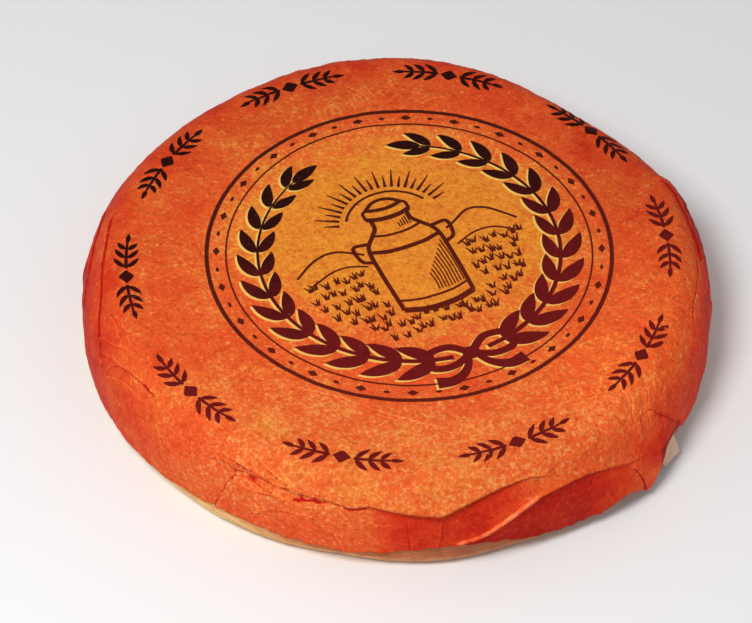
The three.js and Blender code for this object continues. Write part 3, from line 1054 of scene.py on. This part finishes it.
def rim_ornament(ink):
    """A lozenge between two sprigs, along x."""
    ink.strip([(-3.2, 0), (0, 0), (3.2, 0)], [0.1, 3.0, 0.1])
    for side in (-1, 1):
        ink.strip([(side * 4.2, 0), (side * 17, 0)], [0.6, 0.4])
        for place, length in SPRIG_LEAVES:
            for up in (-1, 1):
                heading = 90 - side * 90 + side * up * 56
                leaf(ink, (side * place, up * 0.3), heading, length, 0.95, -side * up * 26)
        leaf(ink, (side * 16.8, 0), 90 - side * 90, 4.8, 0.9)


def make_print():
    tree = BVHTree.FromPolygons(
        [vertex.co / MM for vertex in cap.data.vertices], [p.vertices[:] for p in cap.data.polygons]
    )
    bold, lines, pale = Ink(DARK_OVER), Ink(DARK_OVER), Ink(PALE_OVER)
    wreath(bold)
    bow(bold)
    bold.moved(PRINT_TURN, PRINT_MIDDLE)
    pale.copy(bold, PALE_SHIFT)
    churn(lines)
    meadow(lines)
    rings(lines)
    lines.moved(PRINT_TURN, PRINT_MIDDLE)
    for number in range(RIM_ORNAMENTS):
        at = RIM_ORNAMENT_FIRST + number * 360 / RIM_ORNAMENTS
        start = len(bold.grids)
        rim_ornament(bold)
        bent = []
        for grid in bold.grids[start:]:
            radius = RIM_ORNAMENT_RADIUS + grid[..., 1]
            turned = np.radians(at) - grid[..., 0] / RIM_ORNAMENT_RADIUS
            bent.append(np.stack([radius * np.cos(turned), radius * np.sin(turned)], -1)[:, ::-1])
        bold.grids[start:] = bent
    return (
        bold.laid("print_bold_ink", tree),
        lines.laid("print_fine_ink", tree),
        pale.laid("print_pale_ink", tree),
    )


bold_ink, fine_ink, pale_ink = make_print()


# The rind
RIND_COLUMNS = 720
RIND_TOP = HEIGHT - RIND_DEPTH - 0.4
SIDE_RINGS = 26
FOOT_RINGS = 13
UNDERSIDE_RINGS = 60
# where the soft foot sags out, or is drawn in, with the height and the half height of its bulge
FOOT_SAGS = ((238, 12, 1.0), (260.5, 6.5, -1.15), (279, 6, 0.5), (291, 4, -0.45))
FOOT_SAG_UP = 2.6
FOOT_SAG_HALF = 3.2


def foot_lip(angle, height):
    """How far the soft foot of the wheel sags out, or is drawn in where this is negative."""
    return bumps(angle, FOOT_SAGS) * np.exp(-(((height - FOOT_SAG_UP) / FOOT_SAG_HALF) ** 2))


def make_rind():
    angle = np.arange(RIND_COLUMNS) * 360 / RIND_COLUMNS
    side = outline(angle) - RIND_DEPTH
    rings = []
    for height in np.linspace(RIND_TOP, FOOT_ROUND + 0.5, SIDE_RINGS):
        radius, raised = side_point(angle, height + 0 * angle, -RIND_DEPTH)
        rings.append(polar(angle, radius + foot_lip(angle, raised), np.minimum(raised, RIND_TOP + 0.1)))
    for slope in np.linspace(0, 90, FOOT_RINGS):
        turned = math.radians(slope)
        height = FOOT_ROUND * (1 - math.sin(turned))
        radius = side - FOOT_ROUND * (1 - math.cos(turned)) + foot_lip(angle, height)
        uneven = 0.22 * noise_at(polar(angle, RADIUS, height), 3.2, 18) * math.cos(turned)
        rings.append(polar(angle, radius + uneven, height))
    for share in np.linspace(0.97, 0.03, UNDERSIDE_RINGS):
        rings.append(polar(angle, share * (side - FOOT_ROUND), 0))
    vertices, faces = closed_by_rings(rings, (0, 0, RIND_TOP), (0, 0, 0))
    return new_piece("washed_rind_wheel", vertices, faces, "rind", "cheese_wheel")


rind = make_rind()


# The corner of the inner paper that shows under the hem
CORNER_AT = 326.0
CORNER_DISTANCE = 117.0
CORNER_LEFT = ((-2.3, 3.8), (-4.0, 6.8), (-6.0, 10.0), (-6.5, 15.0))
CORNER_RIGHT = ((7.4, 2.8), (6.2, 8.3), (5.0, 12.0), (4.5, 15.0))
CORNER_LEAN = 0.16  # inward for each millimetre up
CORNER_STEPS = 18


def make_corner():
    """A sheet between its left and right edges, given as sideways and up, slightly rumpled."""
    t = np.linspace(0, 3, CORNER_STEPS)
    left, right = [
        np.stack([np.interp(t, range(4), [point[axis] for point in edge]) for axis in (0, 1)], -1)
        for edge in (CORNER_LEFT, CORNER_RIGHT)
    ]
    share = np.linspace(0, 1, CORNER_STEPS)[None, :, None]
    sheet = left[:, None] + share * (right - left)[:, None]
    across, up = sheet[..., 0], sheet[..., 1]
    rumple = 0.35 * noise_at(np.stack([across, up, 0 * up], -1), 5.0, 21)
    curl = 0.3 * smooth(across, 2, 9) * (1 - smooth(up, 2, 12))
    out = CORNER_DISTANCE - across**2 / (2 * CORNER_DISTANCE) + rumple + curl - CORNER_LEAN * (up - 8)
    turned = math.radians(CORNER_AT)
    away = np.array([math.cos(turned), math.sin(turned), 0])
    beside = np.array([-math.sin(turned), math.cos(turned), 0])
    front = out[..., None] * away + across[..., None] * beside + up[..., None] * np.array([0, 0, 1])
    rear = front - SHEET * away
    vertices = np.concatenate([front.reshape(-1, 3), rear.reshape(-1, 3)])
    # its rows go up, so its front is the other way round
    faces = [(a, d, c, b) for a, b, c, d in sheet_faces(CORNER_STEPS, CORNER_STEPS)]
    return new_piece("inner_paper_flap", vertices, faces, "plain_paper", "inner_paper_corner")


inner_paper = make_corner()


# Materials
class Look:
    """A material's node tree, with short calls for the nodes that it is made of."""

    def __init__(self, name):
        self.material = bpy.data.materials.new(name)
        self.material.use_nodes = True
        self.tree = self.material.node_tree
        self.shader = self.tree.nodes["Principled BSDF"]
        coordinates = self.tree.nodes.new("ShaderNodeTexCoord")
        self.place = self.vector("MULTIPLY", coordinates.outputs["Object"], (1 / MM, 1 / MM, 1 / MM))

    def put(self, value, socket):
        if isinstance(value, bpy.types.NodeSocket):
            self.tree.links.new(value, socket)
        elif isinstance(value, tuple) and len(socket.default_value) == 4:
            socket.default_value = (*value, 1)
        else:
            socket.default_value = value

    def reckoned(self, kind, operation, values):
        """What a node that reckons with the values gives."""
        node = self.tree.nodes.new(kind)
        node.operation = operation
        for value, socket in zip(values, node.inputs):
            self.put(value, socket)
        return node.outputs

    def vector(self, operation, *values):
        outputs = self.reckoned("ShaderNodeVectorMath", operation, values)
        return outputs["Value" if operation == "DOT_PRODUCT" else "Vector"]

    def math(self, operation, *values):
        return self.reckoned("ShaderNodeMath", operation, values)[0]

    def plus(self, first, second):
        return self.math("ADD", first, second)

    def minus(self, first, second):
        return self.math("SUBTRACT", first, second)

    def times(self, value, *others):
        for other in others:
            value = self.math("MULTIPLY", value, other)
        return value

    def bell(self, value):
        """1 where the value is 0, less on both sides."""
        return self.math("EXPONENT", self.times(value, value, -1.0))

    def split(self):
        """The three coordinates of the place, in millimetres."""
        node = self.tree.nodes.new("ShaderNodeSeparateXYZ")
        self.put(self.place, node.inputs[0])
        return node.outputs

    def noise(self, size, detail=2.0, rough=0.5, twist=0.0, place=None):
        """Noise from 0 to 1 whose grains are about size millimetres."""
        node = self.tree.nodes.new("ShaderNodeTexNoise")
        self.put(place or self.place, node.inputs["Vector"])
        node.inputs["Scale"].default_value = 1 / size
        node.inputs["Detail"].default_value = detail
        node.inputs["Roughness"].default_value = rough
        node.inputs["Distortion"].default_value = twist
        return node.outputs["Fac"]

    def drift(self, amount, *grain):
        """Noise about 0, as strong as the amount says."""
        return self.times(self.minus(self.noise(*grain), 0.5), amount)

    def ramp(self, value, low, high, start=0.0, end=1.0):
        """The value's share between low and high, as a number from start to end with soft ends."""
        node = self.tree.nodes.new("ShaderNodeMapRange")
        node.interpolation_type = "SMOOTHSTEP"
        names = ("Value", "From Min", "From Max", "To Min", "To Max")
        for name, given in zip(names, (value, low, high, start, end)):
            self.put(given, node.inputs[name])
        return node.outputs["Result"]

    def colours(self, value, *stops):
        node = self.tree.nodes.new("ShaderNodeValToRGB")
        points = node.color_ramp.elements
        while len(points) < len(stops):
            points.new(0.5)
        for point, (at, colour) in zip(points, stops):
            point.position = at
            point.color = (*colour, 1)
        self.put(value, node.inputs["Fac"])
        return node.outputs["Color"]

    def mix(self, share, first, second, blend="MIX"):
        node = self.tree.nodes.new("ShaderNodeMix")
        node.data_type = "RGBA"
        node.blend_type = blend
        self.put(share, node.inputs["Factor"])
        self.put(first, node.inputs[6])
        self.put(second, node.inputs[7])
        return node.outputs[2]

    def values(self, name):
        node = self.tree.nodes.new("ShaderNodeAttribute")
        node.attribute_name = name
        return node.outputs["Fac"]

    def bump(self, height, distance, before=None):
        """Relief from a height of 0 to 1, of so many millimetres."""
        node = self.tree.nodes.new("ShaderNodeBump")
        node.inputs["Distance"].default_value = distance * MM
        self.put(height, node.inputs["Height"])
        if before:
            self.put(before, node.inputs["Normal"])
        return node.outputs["Normal"]

    def finish(self, colour, rough, normal, specular=0.5):
        self.put(colour, self.shader.inputs["Base Color"])
        self.put(rough, self.shader.inputs["Roughness"])
        self.put(normal, self.shader.inputs["Normal"])
        self.shader.inputs["Specular IOR Level"].default_value = specular
        return self.material


def ridged(look, size, twist):
    """Narrow ridges, 1 on the ridge and lower beside it."""
    folded = look.math("ABSOLUTE", look.minus(look.noise(size, 3.0, 0.5, twist), 0.5))
    return look.minus(1.0, look.times(folded, 4.0))


def crepe(look):
    """Fine crumpled relief of thin paper, mostly from 0.3 to 0.8."""
    small = look.times(look.noise(2.6, 4.0, 0.6, 0.9), 0.5)
    wide = look.times(ridged(look, 7.0, 1.2), 0.25)
    narrow = look.times(ridged(look, 3.2, 0.8), 0.25)
    return look.plus(small, look.plus(wide, narrow))


DEEP_RED = (0.48, 0.011, 0.004)
RED = (0.62, 0.021, 0.006)
BRIGHT_RED = (0.75, 0.048, 0.011)
ORANGE_RED = (0.82, 0.086, 0.018)
ORANGE = (0.85, 0.130, 0.024)
AMBER = (0.80, 0.215, 0.020)
FLECK = (0.82, 0.11, 0.03)
# the paper's pale specks, paler and pinker towards the front with painted sheen
SPECK_WITH_SHEEN = (0.95, 0.38, 0.14)
GOLD_SPECK = (0.93, 0.38, 0.07)
AMBER_SPECK = (0.90, 0.32, 0.035)
# painted shade: the deep red of the crease lines and of the shade under the folds
CREASE_SHADE = (0.50, 0.011, 0.006)
# painted highlight on the crest of the slanting fold
FOLD_HIGHLIGHT = (0.95, 0.30, 0.13)
PAPER_BACK = (0.80, 0.52, 0.36)
PAPER_BACK_STAINED = (0.78, 0.36, 0.18)
GROUND = (
    (0.0, DEEP_RED),
    (0.14, RED),
    (0.30, BRIGHT_RED),
    (0.45, ORANGE_RED),
    (0.72, ORANGE),
    (0.95, AMBER),
)
# what the colour is multiplied by in the hollows of the paper, as painted shade, and on its ridges, as
# painted highlight
HOLLOW_SHADE = (0.65, 0.48, 0.46)
EVEN = (0.741, 0.741, 0.741)
RIDGE_HIGHLIGHT = (0.85, 1.0, 1.0)
RELIEF_LIGHT = 1.245
# painted highlight on the raised side of a crease
CREASE_HIGHLIGHT = (1.3, 1.7, 1.7)
# in millimetres
GRAIN = 1.45
CLUSTER = 4.5
PATCH = 15.0
CREASE_HALF = 0.32
CREASE_HIGHLIGHT_HALF = 0.45


def mottled_ground(look, tone):
    """The ground from red to amber in uneven patches, with pale specks, more of them where it is amber."""
    clusters = look.times(look.noise(CLUSTER), 0.35)
    patches = look.times(look.noise(PATCH), 1.05)
    uneven = look.times(look.minus(look.plus(clusters, patches), 0.7), 0.55)
    mottled = look.plus(tone, uneven)
    ground = look.colours(mottled, *GROUND)
    # towards the front the specks are paler: the paper's specks with painted sheen
    speck_and_sheen = look.mix(look.ramp(look.split()[1], -90.0, -50.0), SPECK_WITH_SHEEN, GOLD_SPECK)
    speck_tone = look.mix(look.ramp(tone, 0.5, 1.0), speck_and_sheen, AMBER_SPECK)
    grain = look.noise(GRAIN, 2.5, 0.55, 0.7)
    limit = look.ramp(mottled, 0.0, 1.0, 0.70, 0.37)
    specks = look.ramp(grain, limit, look.plus(limit, 0.26))
    ground = look.mix(look.ramp(grain, 0.5, 0.72, 0.0, 0.3), ground, FLECK)
    return look.mix(look.times(specks, 0.66), ground, speck_tone)


def relief_shading(look, colour, crumpled):
    """The colour with painted shade, redder, in the hollows and painted highlights, paler, on the ridges."""
    fine = look.times(look.noise(1.1), 0.4)
    height = look.plus(fine, look.times(crumpled, 0.6))
    level = look.colours(height, (0.38, HOLLOW_SHADE), (0.53, EVEN), (0.68, RIDGE_HIGHLIGHT))
    level = look.vector("MULTIPLY", level, (RELIEF_LIGHT, RELIEF_LIGHT, RELIEF_LIGHT))
    return look.mix(1.0, colour, level, "MULTIPLY")


def creased(look, colour):
    """The colour with a dark broken line of painted shade along each crease, a pale painted highlight beside
    it, and painted shade under the folds.
    """
    dark = look.values("crease_shade")
    away = look.values("crease_side")
    broken = look.ramp(look.noise(2.8, 2.0, 0.6), 0.3, 0.6, 0.35, 1.0)
    line = look.times(look.bell(look.math("DIVIDE", away, CREASE_HALF)), dark, broken)
    # a painted highlight beside the crease line, on its raised side
    light = look.bell(look.minus(look.math("DIVIDE", away, CREASE_HIGHLIGHT_HALF), 1.5))
    light = look.times(light, look.ramp(dark, 0.02, 0.3), look.ramp(dark, 0.5, 1.0, 1.0, 0.25), 0.5)
    colour = look.mix(light, colour, CREASE_HIGHLIGHT, "MULTIPLY")
    shade = look.math("MINIMUM", look.times(look.values("fold_shade"), 0.7), 1.0)
    # painted shade along the creases and under the folds, mixed to deep red
    return look.mix(look.math("MAXIMUM", look.ramp(line, 0.06, 0.7), shade), colour, CREASE_SHADE)


def printed_paper():
    look = Look("printed_paper")
    crumpled = crepe(look)
    colour = mottled_ground(look, look.values("tone"))
    colour = creased(look, relief_shading(look, colour, crumpled))
    # painted light and shade multiply the colour
    painted_light_shade = look.values("painted_light_shade")
    colour = look.mix(1.0, colour, painted_light_shade, "MULTIPLY")
    # painted highlight: where the painted light is strongest the colour turns pale
    colour = look.mix(look.ramp(painted_light_shade, 1.2, 1.4, 0.0, 0.55), colour, FOLD_HIGHLIGHT)
    stained = look.ramp(look.noise(3.0, 4.0, 0.6), 0.4, 0.65)
    back = look.mix(stained, PAPER_BACK, PAPER_BACK_STAINED)
    colour = look.mix(look.ramp(look.values("inside"), 0.3, 0.6), colour, back)
    rough = look.ramp(look.noise(CLUSTER), 0.3, 0.7, 0.50, 0.62)
    return look.finish(colour, rough, look.bump(crumpled, 0.85), 0.05)


def ink_look(name, upper, lower, fleck):
    """Ink that runs from one colour to the other down the print, with paper grain showing as flecks."""
    look = Look(name)
    way = math.radians(PRINT_TURN)
    down = look.vector("DOT_PRODUCT", look.place, (math.sin(way), -math.cos(way), 0.0))
    share = look.ramp(look.plus(down, look.drift(60.0, 12.0)), -45.0, 45.0)
    colour = look.mix(share, upper, lower)
    flecks = look.ramp(look.noise(0.8, 2.0, 0.6), 0.66, 0.74)
    colour = look.mix(look.times(flecks, 0.6), colour, fleck)
    return look.finish(colour, 0.55, look.bump(crepe(look), 0.4), 0.06)


FOOT_AMBER = ((0.3, (0.78, 0.32, 0.10)), (0.7, (0.95, 0.52, 0.20)))
WASHED_BROWN = ((0.3, (0.42, 0.095, 0.026)), (0.7, (0.72, 0.245, 0.075)))
# painted light on the left of the rind, and painted shade on its right
PAINTED_LIGHT_LEFT = (1.2, 1.7, 1.85)
PAINTED_SHADE_RIGHT = (0.36, 0.12, 0.055)
RIDGE_LINE = (0.34, 0.075, 0.022)
MAT_MARK = (0.46, 0.13, 0.04)
MAT_PER_MILLIMETRE = 0.75


def rind_look():
    """Washed rind: amber at the foot, browner and finely ridged up the side, and below the faint
    lattice of the mat that it ripened on. The amber of the foot is partly painted light, the brown under
    the paper partly painted shade, and the left is painted lighter and the right darker."""
    look = Look("rind")
    x, y, height = look.split()
    # browner up the side: the washed rind's colour with painted shade under the paper, less of it to the left
    # as painted light; the amber foot partly painted light
    brown_and_shade = look.ramp(look.plus(height, look.drift(5.0, 5.0, 3.0, 0.6)), 2.8, 6.2)
    amber = look.colours(look.noise(6.0, 4.0, 0.6), *FOOT_AMBER)
    washed = look.colours(look.noise(9.0, 5.0, 0.6, 0.5), *WASHED_BROWN)
    colour = look.mix(look.times(brown_and_shade, look.ramp(x, -70.0, -20.0, 0.15, 1.0)), amber, washed)
    # painted light on the left and painted shade on the right
    colour = look.mix(look.ramp(x, -60.0, -15.0, 0.6, 0.0), colour, PAINTED_LIGHT_LEFT, "MULTIPLY")
    colour = look.mix(look.ramp(x, -10.0, 40.0, 0.0, 0.6), colour, PAINTED_SHADE_RIGHT)
    flat = look.vector("MULTIPLY", look.place, (0.07, 0.07, 1.0))
    lines = look.noise(0.8, 2.0, 0.5, 0.0, flat)
    colour = look.mix(look.ramp(lines, 0.45, 0.7, 0.0, 0.45), colour, RIDGE_LINE)
    bent = look.drift(9.0, 30.0)
    waves = [look.math("SINE", look.times(look.plus(along, bent), MAT_PER_MILLIMETRE)) for along in (x, y)]
    bars = look.math("MINIMUM", *[look.math("ABSOLUTE", wave) for wave in waves])
    below = look.ramp(height, 0.0, 1.5, 1.0, 0.0)
    mat = look.times(look.ramp(bars, 0.02, 0.30, 0.7, 0.0), below)
    patches = look.ramp(look.noise(28.0, 4.0, 0.6), 0.35, 0.65, 0.2, 0.75)
    colour = look.mix(look.times(below, patches), colour, washed)
    worn = look.ramp(look.noise(14.0), 0.35, 0.65, 0.1, 0.5)
    colour = look.mix(look.times(mat, worn), colour, MAT_MARK)
    relief = look.bump(look.noise(1.6, 4.0, 0.6), 0.4)
    relief = look.bump(lines, 0.5, relief)
    relief = look.bump(look.minus(1.0, mat), 0.4, relief)
    return look.finish(colour, 0.5, relief, 0.2)


def cream_paper():
    look = Look("plain_paper")
    cream, pale = (0.66, 0.40, 0.26), (0.78, 0.52, 0.36)
    colour = look.colours(look.noise(3.0, 4.0, 0.6), (0.35, cream), (0.65, pale))
    return look.finish(colour, 0.6, look.bump(crepe(look), 0.3), 0.3)


# Floor and light, with lengths in metres
FLOOR_HALF = 4.0
KEY_PLACE = (-0.26, -0.42, 0.8)
KEY_SIZE = 0.35
KEY_POWER = 5.4
SKY_STRENGTH = 0.42


def make_floor():
    mesh = bpy.data.meshes.new("floor")
    corners = [(x * FLOOR_HALF, y * FLOOR_HALF, 0) for x, y in ((-1, -1), (1, -1), (1, 1), (-1, 1))]
    mesh.from_pydata(corners, [], [(0, 1, 2, 3)])
    floor = bpy.data.objects.new("floor", mesh)
    bpy.context.scene.collection.objects.link(floor)
    look = Look("floor")
    look.shader.inputs["Base Color"].default_value = (0.9, 0.9, 0.9, 1)
    look.shader.inputs["Roughness"].default_value = 0.9
    look.shader.inputs["Specular IOR Level"].default_value = 0.1
    mesh.materials.append(look.material)


def add_light(name, place, size, power):
    data = bpy.data.lights.new(name, "AREA")
    data.shape = "DISK"
    data.size = size
    data.energy = power
    light = bpy.data.objects.new(name, data)
    light.location = place
    light.rotation_euler = (-Vector(place)).to_track_quat("-Z", "Y").to_euler()
    bpy.context.scene.collection.objects.link(light)


make_floor()
add_light("key", KEY_PLACE, KEY_SIZE, KEY_POWER)
world = bpy.data.worlds.new("studio")
world.use_nodes = True
sky = world.node_tree.nodes["Background"]
sky.inputs["Color"].default_value = (1, 1, 1, 1)
sky.inputs["Strength"].default_value = SKY_STRENGTH
bpy.context.scene.world = world
bpy.context.scene.view_settings.view_transform = "Standard"

cap.data.materials.append(printed_paper())
# each ink's colour at the top of the print and at its foot, and its flecks
INKS = (
    (bold_ink, "bold_ink", (0.022, 0.002, 0.001), (0.15, 0.006, 0.006), (0.35, 0.07, 0.04)),
    (fine_ink, "fine_ink", (0.070, 0.009, 0.003), (0.120, 0.010, 0.005), (0.40, 0.09, 0.03)),
    (pale_ink, "pale_ink", (0.90, 0.55, 0.12), (0.88, 0.50, 0.11), (0.95, 0.70, 0.25)),
)
for ink, name, upper, lower, fleck in INKS:
    ink.data.materials.append(ink_look(name, upper, lower, fleck))
rind.data.materials.append(rind_look())
inner_paper.data.materials.append(cream_paper())
